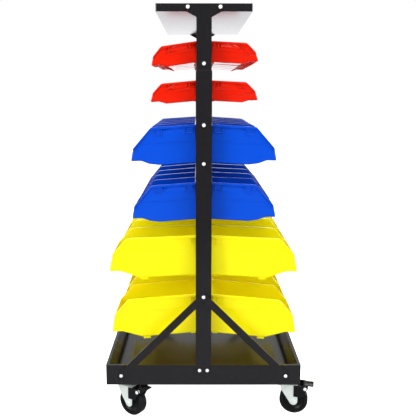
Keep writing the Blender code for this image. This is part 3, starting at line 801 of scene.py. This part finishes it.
def bin_side(size, side, body_half, rim_half):
    """Flange, tabs, bars, ledge line and feet on one side."""

    def wall_at(level):
        """How far from the middle a detail starts in the wall at that level."""
        return body_half + SIDE_DRAFT * level - DETAIL_SEAT

    parts = [bin_flange(size, side, body_half, rim_half)]
    for centre, width, foot in size["tabs"]:
        outline = oblong(centre - width / 2, centre + width / 2, foot, -size["rim_depth"] * TAB_TOP_SHARE)
        parts.append(on_side(outline, side, wall_at(foot), rim_half - TAB_SET_BACK, EDGE_ROUND))
    for start, end, foot in size["bars"]:
        outline = oblong(start, end, foot, foot + BAR_WIDTH)
        parts.append(on_side(outline, side, wall_at(foot), rim_half - BAR_SET_BACK, EDGE_ROUND))
    level = size["ledge"]
    front = size["corner"][0]
    if level > size["corner"][1]:
        front = meet(size["mouth_end"], size["corner"], (0, level), (1, level)).x
    outline = oblong(LEDGE_START, front - LEDGE_SHORT, level - LEDGE_HALF, level + LEDGE_HALF)
    parts.append(on_side(outline, side, wall_at(level), wall_at(level) + LEDGE_DEPTH, LEDGE_ROUND))
    floor = size["under"][0][1]
    inner = body_half + SIDE_DRAFT * floor - size["side_round"]
    for start, end, depth in size["feet"]:
        outline = oblong(start, end, floor - depth, floor + FOOT_SEAT)
        parts.append(on_side(outline, side, inner - FOOT_IN, inner + FOOT_OUT, EDGE_ROUND))
    return parts


def level_under(size, x):
    """Height of the underside that far from the back wall."""
    line = size["under"]
    for a, b in zip(line, line[1:]):
        if x <= b[0]:
            return a[1] + (b[1] - a[1]) * (x - a[0]) / (b[0] - a[0])
    return line[-1][1]


def bin_ribs(size, body_half):
    """Cross ribs under the heel and under the front slope."""
    parts = []
    for start, end in size["ribs"]:
        places = [start] + [x for x, _ in size["under"] if start < x < end] + [end]
        low = [(x, level_under(size, x) - RIB_DEPTH) for x in places]
        high = [(x, level_under(size, x) + BIN_WALL / 2) for x in reversed(places)]
        for k in range(RIB_COUNT):
            middle = body_half * RIB_SPREAD_SHARE * (2 * k / (RIB_COUNT - 1) - 1)
            parts.append(prism([*low, *high], middle - RIB_WIDTH / 2, middle + RIB_WIDTH / 2, along="Y"))
    return parts


def bin_front(size, body_half):
    """The label slot on the front: a rib under the lip, one above the tip, and an end to each side."""
    corner = Vector(size["corner"])
    tip = Vector(size["under"][-1])
    down = (tip - corner).normalized()
    out = Vector((-down.y, down.x))
    length = (tip - corner).length
    half = body_half * LABEL_HALF_SHARE

    def strip(start, end, rise):
        """Outline of a strip down the front, from and to those shares of its length."""
        a = corner + down * (length * start)
        b = corner + down * (length * end)
        return [a - out * DETAIL_SEAT, b - out * DETAIL_SEAT, b + out * rise, a + out * rise]

    parts = []
    for start in LABEL_RIB_SHARES:
        outline = strip(start, start + LABEL_RIB_WIDTH / length, LABEL_RIB_RISE)
        parts.append(softened(prism(outline, -half, half, along="Y"), LABEL_ROUND))
    for side in (-1, 1):
        outline = strip(*LABEL_END_SHARES, LABEL_END_RISE)
        parts.append(on_side(outline, side, half - LABEL_RIB_WIDTH, half, LABEL_ROUND))
    return parts


def make_bin_mesh(colour, material):
    """The mesh of one bin of that colour."""
    size = BINS[colour]
    pitch = ROW_LENGTH / size["per_row"]
    rim_half = pitch / 2 - BIN_GAP
    body_half = pitch / 2 - BIN_FLANGE
    solids = [bin_shell(size, body_half), bin_hook(size, rim_half)]
    for side in (-1, 1):
        solids += bin_side(size, side, body_half, rim_half)
    solids += bin_front(size, body_half) + bin_ribs(size, body_half)
    made = even_shading(joined(colour + "_bin", material, solids))
    mesh = made.data
    bpy.data.objects.remove(made, do_unlink=True)
    return mesh


def bin_row(name, mesh, size, count, pull):
    """A row of count bins in one object, its origin over the rail's lip."""
    pitch = ROW_LENGTH / size["per_row"]
    shape = bmesh.new()
    for i in range(count):
        before = len(shape.verts)
        shape.from_mesh(mesh)
        shape.verts.ensure_lookup_table()
        shift = Vector((HOOK_STANDOFF + RAIL_SHEET / 2 + pull, (i - (count - 1) / 2) * pitch, HOOK_ROOF))
        for vert in shape.verts[before:]:
            vert.co += shift
    row = bpy.data.meshes.new(name)
    shape.to_mesh(row)
    shape.free()
    row.materials.append(mesh.materials[0])
    row.set_sharp_from_angle(angle=math.radians(SHARP_DEGREES))
    obj = bpy.data.objects.new(name, row)
    bpy.context.scene.collection.objects.link(obj)
    return even_shading(obj)


def make_bins(materials):
    """In each tier and on each side, the nearest bin by itself and the others as a bank."""
    meshes = {colour: make_bin_mesh(colour, materials[colour]) for colour in BINS}
    lip = RAIL_WIDTH / 2 - RAIL_SHEET / 2
    for tier, (colour, rim, near_tilts, other_tilts, pulls) in TIERS.items():
        size = BINS[colour]
        pitch = ROW_LENGTH / size["per_row"]
        near = -ROW_LENGTH / 2 + pitch / 2
        others_middle = near + pitch * size["per_row"] / 2
        for k, (label, side) in enumerate((("left", -1), ("right", 1))):
            for kind, count, middle, angle, body in (
                ("near_bin_", 1, near, near_tilts[k], "bin_" + tier + "_" + label),
                ("bin_bank_", size["per_row"] - 1, others_middle, other_tilts[k], "cart"),
            ):
                node = kind + tier + "_" + label
                row = bin_row(node + "_moulding", meshes[colour], size, count, pulls[k])
                row.location = (side * lip, middle, rim - HOOK_ROOF)
                row.rotation_euler = (0, math.radians(angle), 0 if side == 1 else math.pi)
                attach(row, body)
                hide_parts(node)


def refined(node, radius, material, body):
    """A piece of the frame with its edges rounded, in its own place."""
    shape = bmesh.new()
    shape.from_mesh(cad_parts[node].data)
    bmesh.ops.remove_doubles(shape, verts=shape.verts, dist=MERGE_DISTANCE)
    bmesh.ops.dissolve_limit(
        shape, angle_limit=math.radians(FLAT_DEGREES), verts=shape.verts, edges=shape.edges
    )
    softened(shape, radius)
    piece = even_shading(finished(shape, node + "_sheet", material))
    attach(piece, body)
    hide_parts(node)


def make_steel(materials):
    """Trays, posts, braces and rails from the frame's own pieces."""
    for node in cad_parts:
        if node.endswith(("_tray", "_post")) or "_brace_" in node or node.startswith("rail_"):
            refined(node, SHEET_ROUND, materials["black"], "cart")


def dome_profile(radius, height):
    """Profile of a round head: flat below, domed on top."""
    base = height * DOME_BASE_SHARE
    points = [(radius, 0), (radius, base)]
    for i in range(1, DOME_FLATS + 1):
        angle = math.radians(90 * i / (DOME_FLATS + 0.5))
        points.append((radius * math.cos(angle), base + height * (1 - DOME_BASE_SHARE) * math.sin(angle)))
    return points


def add_turned(target, profile, place):
    """Adds a turned piece to the target, moved by a matrix."""
    one = turned(profile, BOLT_SIDES)
    bmesh.ops.transform(one, matrix=place, verts=one.verts)
    part = bpy.data.meshes.new("part")
    one.to_mesh(part)
    one.free()
    target.from_mesh(part)
    bpy.data.meshes.remove(part)


def make_bolts(materials):
    """Domed bolts on both ends, each on a black washer whose dark ring is partly a real washer and partly
    painted contact shadow round the head.
    """
    heads = bmesh.new()
    washers_and_painted_shadow = bmesh.new()
    head = dome_profile(BOLT_RADIUS, BOLT_HEIGHT)
    washer = dome_profile(WASHER_RADIUS, WASHER_HEIGHT)
    groups = (
        (UPPER_WEB + FACE_GAP, GUSSET_BOLTS),
        (UPPER_WEB + FACE_GAP, UPPER_WEB_BOLTS),
        (LOWER_WEB + FACE_GAP, LOWER_WEB_BOLTS),
        (BRACE_HEAD_FACE, BRACE_HEAD_BOLTS),
        (BRACE_FOOT_FACE, BRACE_FOOT_BOLTS),
    )
    for face, places in groups:
        for x, z in places:
            for end in (-1, 1):
                turn = Matrix.Rotation(math.radians(90 if end == -1 else -90), 4, "X")
                seat = face + WASHER_HEIGHT * HEAD_SEAT_SHARE
                add_turned(heads, head, Matrix.Translation((x, end * seat, z)) @ turn)
                add_turned(washers_and_painted_shadow, washer, Matrix.Translation((x, end * face, z)) @ turn)
    for shape, name, material, slot in (
        (heads, "bolt_heads", materials["bolt"], "zinc_plate"),
        (washers_and_painted_shadow, "bolt_washers_and_painted_shadow", materials["washer"], "black_brake"),
    ):
        piece = finished(shape, name, material)
        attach(piece, "cart")


def caster_plate(material):
    """Top plate with the kingpin, the upper race and four nuts."""
    corners = []
    for quarter, (sx, sy) in enumerate(((1, 1), (-1, 1), (-1, -1), (1, -1))):
        centre = (sx * PLATE_ARM, sy * PLATE_ARM)
        corners += arc(centre, PLATE_CORNER, 90 * quarter, 90 * (quarter + 1), PLATE_CORNER_FLATS)
    solids = [
        softened(prism(corners, PLATE_UNDER, PLATE_TOP), PLATE_ROUND),
        turned(KINGPIN_PROFILE, RACE_SIDES),
    ]
    for sx in (-1, 1):
        for sy in (-1, 1):
            place = (sx * NUT_PLACE, sy * NUT_PLACE)
            hexagon = arc(place, NUT_RADIUS, 0, 360 - 360 / NUT_SIDES, NUT_SIDES - 1)
            solids.append(softened(prism(hexagon, NUT_UNDER, NUT_TOP), NUT_ROUND))
    return joined("caster_plate_mesh", material, solids)


def fork_leg():
    """Side outline of the fork's leg, from the crown down to the axle's eye."""
    axle = Vector((CASTER_TRAIL, WHEEL_RADIUS))
    knee = Vector(KNEE)
    away = axle - knee
    heading = math.atan2(away.y, away.x) - math.asin(EYE_RADIUS / away.length)
    reach = math.sqrt(away.length**2 - EYE_RADIUS**2)
    touch = knee + Vector((math.cos(heading), math.sin(heading))) * reach
    start = math.degrees(math.atan2(touch.y - axle.y, touch.x - axle.x))
    return [
        Vector((CROWN_BACK, CROWN_TOP)),
        knee,
        *arc(axle, EYE_RADIUS, start, 0, EYE_FLATS),
        Vector((CASTER_TRAIL + EYE_RADIUS, CROWN_TOP)),
    ]


def fork(material):
    """Crown, lower race and two legs, bored for the axle and the kingpin."""
    crown = block(
        (CROWN_BACK, CASTER_TRAIL + EYE_RADIUS), (-FORK_HALF, FORK_HALF), (CROWN_UNDER, CROWN_TOP)
    )
    race = (
        (RACE_FOOT_RADIUS, CROWN_UNDER),
        (RACE_RADIUS, CROWN_UNDER + RACE_FOOT_RISE),
        (RACE_RADIUS, RACE_TOP - RACE_TOP_DROP),
        (RACE_TOP_RADIUS, RACE_TOP),
    )
    solids = [softened(crown, CROWN_ROUND), turned(race, RACE_SIDES)]
    for side in (-1, 1):
        solids.append(on_side(fork_leg(), side, FORK_HALF - FORK_SHEET, FORK_HALF, FORK_ROUND))
    axle_bore = turned([(AXLE_BORE, -CUT_HALF), (AXLE_BORE, CUT_HALF)], PIN_SIDES, "Y")
    bmesh.ops.translate(axle_bore, vec=(CASTER_TRAIL, 0, WHEEL_RADIUS), verts=axle_bore.verts)
    cut = ((KINGPIN_BORE, CROWN_UNDER - KINGPIN_OVERRUN), (KINGPIN_BORE, RACE_TOP + KINGPIN_OVERRUN))
    return joined("fork_mesh", material, solids, [axle_bore, turned(cut, PIN_SIDES)])


def brake_housing(material):
    """Two cheeks outside the fork with a strap between them."""
    pin = Vector((PIN_REACH, PIN_HEIGHT))
    cheek = [
        Vector((CASTER_TRAIL, CHEEK_FOOT)),
        Vector((PIN_REACH - EAR_RADIUS, CHEEK_FOOT)),
        *arc(pin, EAR_RADIUS, EAR_FROM_DEGREES, EAR_TO_DEGREES, EAR_FLATS),
        Vector((PIN_REACH - EAR_RADIUS, CROWN_TOP)),
        Vector((CASTER_TRAIL, CROWN_TOP)),
    ]
    outer = FORK_HALF + CHEEK_OUT
    solids = [on_side(cheek, side, FORK_HALF + CHEEK_GAP, outer, HOUSING_ROUND) for side in (-1, 1)]
    strap = block(
        (CASTER_TRAIL + STRAP_FROM, CASTER_TRAIL + STRAP_TO),
        (-outer, outer),
        (STRAP_FOOT, CROWN_TOP - STRAP_DROP),
    )
    solids.append(softened(strap, HOUSING_ROUND))
    return joined("brake_housing_mesh", material, solids)


def brake_pin(material):
    """The pin that the pedal turns on, with a round head on each side."""
    end = FORK_HALF + CHEEK_OUT
    half = [(radius, end + out) for radius, out in PIN_HEAD]
    return finished(turned(both_sides(half), PIN_SIDES, "Y"), "brake_pin_mesh", material)


def axle_bolt(material):
    """The axle with a bevelled head on each side of the fork."""
    inner = FORK_HALF + AXLE_HEAD_GAP
    outer = inner + AXLE_HEAD_HEIGHT
    half = [
        (AXLE_HEAD_RADIUS * AXLE_HEAD_SHARES[0], outer),
        (AXLE_HEAD_RADIUS * AXLE_HEAD_SHARES[1], outer - AXLE_BEVELS[0]),
        (AXLE_HEAD_RADIUS, outer - AXLE_BEVELS[1]),
        (AXLE_HEAD_RADIUS, inner),
        (AXLE_RADIUS, inner),
    ]
    return finished(turned(both_sides(half), AXLE_SIDES, "Y"), "axle_bolt_mesh", material)


def wheel_tyre(material):
    """The tyre, with a round shoulder on each side of its tread."""
    half = list(TYRE_SIDE)
    for k in range(1, SHOULDER_STEPS + 1):
        a = math.radians(SHOULDER_STEP * k)
        bend = Vector((SHOULDER_RADIUS * math.sin(a), SHOULDER_RADIUS * math.cos(a)))
        half.append(Vector(SHOULDER_PLACE) + bend)
    half.append((WHEEL_RADIUS, TREAD_HALF))
    return finished(turned(both_sides(half), WHEEL_SIDES, "Y", True), "wheel_tyre_mesh", material)


def wheel_hub(material):
    """Hub, web and rim of the wheel."""
    return finished(turned(both_sides(HUB_SIDE), WHEEL_SIDES, "Y", True), "wheel_hub_mesh", material)


def pedal(material):
    """The brake's pedal: a hub on the pin and a grooved tread plate."""
    outline = [
        *arc((0, 0), PEDAL_HUB, PEDAL_HUB_FROM_DEGREES, PEDAL_HUB_TO_DEGREES, PEDAL_HUB_FLATS),
        (PEDAL_HUB, PEDAL_UNDER),
        *PEDAL_NOSE,
        (PEDAL_REACH, PEDAL_TOP),
        (-PEDAL_HUB / 2, PEDAL_TOP),
    ]
    tread = softened(prism(outline, -PEDAL_HALF, PEDAL_HALF, along="Y"), PEDAL_ROUND)
    cuts = [turned([(PEDAL_BORE, -CUT_HALF), (PEDAL_BORE, CUT_HALF)], PIN_SIDES, "Y")]
    for k in range(GROOVE_COUNT):
        ends = (GROOVE_FROM + GROOVE_PITCH * k, GROOVE_TO + GROOVE_PITCH * k)
        cuts.append(block(ends, (-GROOVE_HALF, GROOVE_HALF), (GROOVE_FLOOR, GROOVE_CUT_TOP)))
    return joined("pedal_mesh", material, [tread], cuts)


def caster_meshes(materials):
    """One mesh for each kind of caster piece."""
    made = {}
    for name, maker, surface in (
        ("caster_plate", caster_plate, "zinc"),
        ("fork", fork, "zinc"),
        ("brake_housing", brake_housing, "brake"),
        ("brake_pin", brake_pin, "bolt"),
        ("axle_bolt", axle_bolt, "zinc"),
        ("wheel_tyre", wheel_tyre, "tyre"),
        ("wheel_hub", wheel_hub, "brake"),
        ("pedal", pedal, "brake"),
    ):
        piece = even_shading(maker(materials[surface]))
        made[name] = piece.data
        bpy.data.objects.remove(piece, do_unlink=True)
    return made


def make_caster(corner, meshes):
    """One caster at its corner of the cart."""
    x, y, angle = CASTERS[corner]
    plain = Matrix.Translation((x, y, 0))
    swivel = plain @ Matrix.Rotation(math.radians(angle), 4, "Z")
    axle = swivel @ Matrix.Translation((CASTER_TRAIL, 0, WHEEL_RADIUS))
    pin = swivel @ Matrix.Translation((PIN_REACH, 0, PIN_HEIGHT))
    for name, place, body, slot, node in (
        ("caster_plate", plain, "cart", "zinc_plate", "caster_plate_"),
        ("fork", swivel, "fork_" + corner, "zinc_plate", "caster_fork_"),
        ("brake_housing", swivel, "fork_" + corner, "black_brake", "caster_fork_"),
        ("brake_pin", pin, "fork_" + corner, "zinc_plate", "caster_fork_"),
        ("axle_bolt", axle, "fork_" + corner, "zinc_plate", "caster_axle_"),
        ("wheel_tyre", axle, "wheel_" + corner, "black_tyre", "caster_wheel_"),
        ("wheel_hub", axle, "wheel_" + corner, "black_brake", "caster_wheel_"),
        ("pedal", pin, "pedal_" + corner, "black_brake", "brake_pedal_"),
    ):
        piece = bpy.data.objects.new(name + "_" + corner, meshes[name])
        bpy.context.scene.collection.objects.link(piece)
        piece.matrix_world = place
        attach(piece, body)
        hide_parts(node + corner)


def make_floor():
    """A white floor that keeps the object's shadow. The gloss sees it dim in front and bright behind."""
    shape = bmesh.new()
    bmesh.ops.create_grid(shape, x_segments=1, y_segments=1, size=FLOOR_SIZE)
    mesh = bpy.data.meshes.new("floor")
    shape.to_mesh(mesh)
    shape.free()
    floor = bpy.data.objects.new("floor", mesh)
    bpy.context.scene.collection.objects.link(floor)
    floor.location.z = -FLOOR_DROP
    paint = bpy.data.materials.new("white_floor")
    paint.use_nodes = True
    tree = paint.node_tree
    nodes = tree.nodes
    links = tree.links
    nodes.clear()
    rays = nodes.new("ShaderNodeLightPath").outputs
    place = nodes.new("ShaderNodeTexCoord")
    parts = nodes.new("ShaderNodeSeparateXYZ")
    links.new(place.outputs["Object"], parts.inputs["Vector"])
    depth = ranged(tree, parts.outputs["Y"], FLOOR_RISES, (FLOOR_DIM, FLOOR_BRIGHT))
    near = ranged(tree, parts.outputs["Y"], FLOOR_NEAR_RISES, (FLOOR_DIM, FLOOR_NEAR))
    brighter = worked_out(tree, "MAXIMUM", depth, near)
    shine = worked_out(tree, "MULTIPLY", rays["Is Glossy Ray"], brighter)
    seen = worked_out(tree, "MAXIMUM", rays["Is Camera Ray"], rays["Is Transmission Ray"])
    glow = nodes.new("ShaderNodeEmission")
    links.new(worked_out(tree, "ADD", shine, seen), glow.inputs["Strength"])
    links.new(mixed(tree, rays["Is Camera Ray"], FLOOR_CAST, WHITE, "RGBA"), glow.inputs["Color"])
    matt = nodes.new("ShaderNodeBsdfDiffuse")
    links.new(mixed(tree, rays["Is Glossy Ray"], FLOOR_MATT, BLACK, "RGBA"), matt.inputs["Color"])
    both = nodes.new("ShaderNodeAddShader")
    links.new(glow.outputs[0], both.inputs[0])
    links.new(matt.outputs[0], both.inputs[1])
    out = nodes.new("ShaderNodeOutputMaterial")
    links.new(both.outputs[0], out.inputs["Surface"])
    mesh.materials.append(paint)


def make_surroundings():
    """White to the camera, a sky with a bright low band to the gloss, and soft light for the rest."""
    world = bpy.data.worlds.new("surroundings")
    bpy.context.scene.world = world
    world.use_nodes = True
    tree = world.node_tree
    back = tree.nodes["Background"]
    back.inputs["Color"].default_value = WHITE
    rays = tree.nodes.new("ShaderNodeLightPath").outputs
    place = tree.nodes.new("ShaderNodeTexCoord")
    parts = tree.nodes.new("ShaderNodeSeparateXYZ")
    tree.links.new(place.outputs["Generated"], parts.inputs["Vector"])
    depth = ranged(tree, parts.outputs["Y"], SKY_RISES, (SKY_DIM, SKY_BRIGHT))
    height = ranged(tree, parts.outputs["Z"], SKY_HEIGHTS, (SKY_LOW, SKY_HIGH))
    sky = worked_out(tree, "MULTIPLY", depth, height)
    ambient = ranged(tree, parts.outputs["Y"], AMBIENT_RISES, (AMBIENT_DIM, AMBIENT_BRIGHT))
    unseen = mixed(tree, rays["Is Glossy Ray"], ambient, sky)
    seen = worked_out(tree, "MAXIMUM", rays["Is Camera Ray"], rays["Is Transmission Ray"])
    tree.links.new(mixed(tree, seen, unseen, 1.0), back.inputs["Strength"])


def make_lamp(name, place, aim, size, power):
    """A white area lamp that faces its aim."""
    lamp = bpy.data.lights.new(name, "AREA")
    lamp.shape = "RECTANGLE"
    lamp.size = size[0]
    lamp.size_y = size[1]
    lamp.energy = power
    obj = bpy.data.objects.new(name, lamp)
    bpy.context.scene.collection.objects.link(obj)
    obj.location = place
    way = Vector(aim) - Vector(place)
    obj.rotation_mode = "QUATERNION"
    obj.rotation_quaternion = way.to_track_quat("-Z", "Y")


def make_camera():
    """The camera, off the cart's near end and looking slightly down."""
    data = bpy.data.cameras.new("camera")
    data.sensor_width = CAMERA_SENSOR
    data.lens = CAMERA_LENS
    data.shift_x = CAMERA_SHIFT
    camera = bpy.data.objects.new("camera", data)
    bpy.context.scene.collection.objects.link(camera)
    turn = (
        Matrix.Rotation(-math.radians(CAMERA_YAW), 4, "Z")
        @ Matrix.Rotation(math.radians(90 - CAMERA_PITCH), 4, "X")
        @ Matrix.Rotation(math.radians(CAMERA_ROLL), 4, "Z")
    )
    camera.matrix_world = Matrix.Translation(CAMERA_PLACE) @ turn
    bpy.context.scene.camera = camera


make_camera()
materials = make_materials()
make_floor()
make_surroundings()
make_bins(materials)
make_steel(materials)
make_bolts(materials)
meshes = caster_meshes(materials)
for corner in CASTERS:
    make_caster(corner, meshes)
for name, (place, aim, size, power) in LAMPS.items():
    make_lamp(name, place, aim, size, power)
bpy.context.scene.view_settings.view_transform = "Standard"
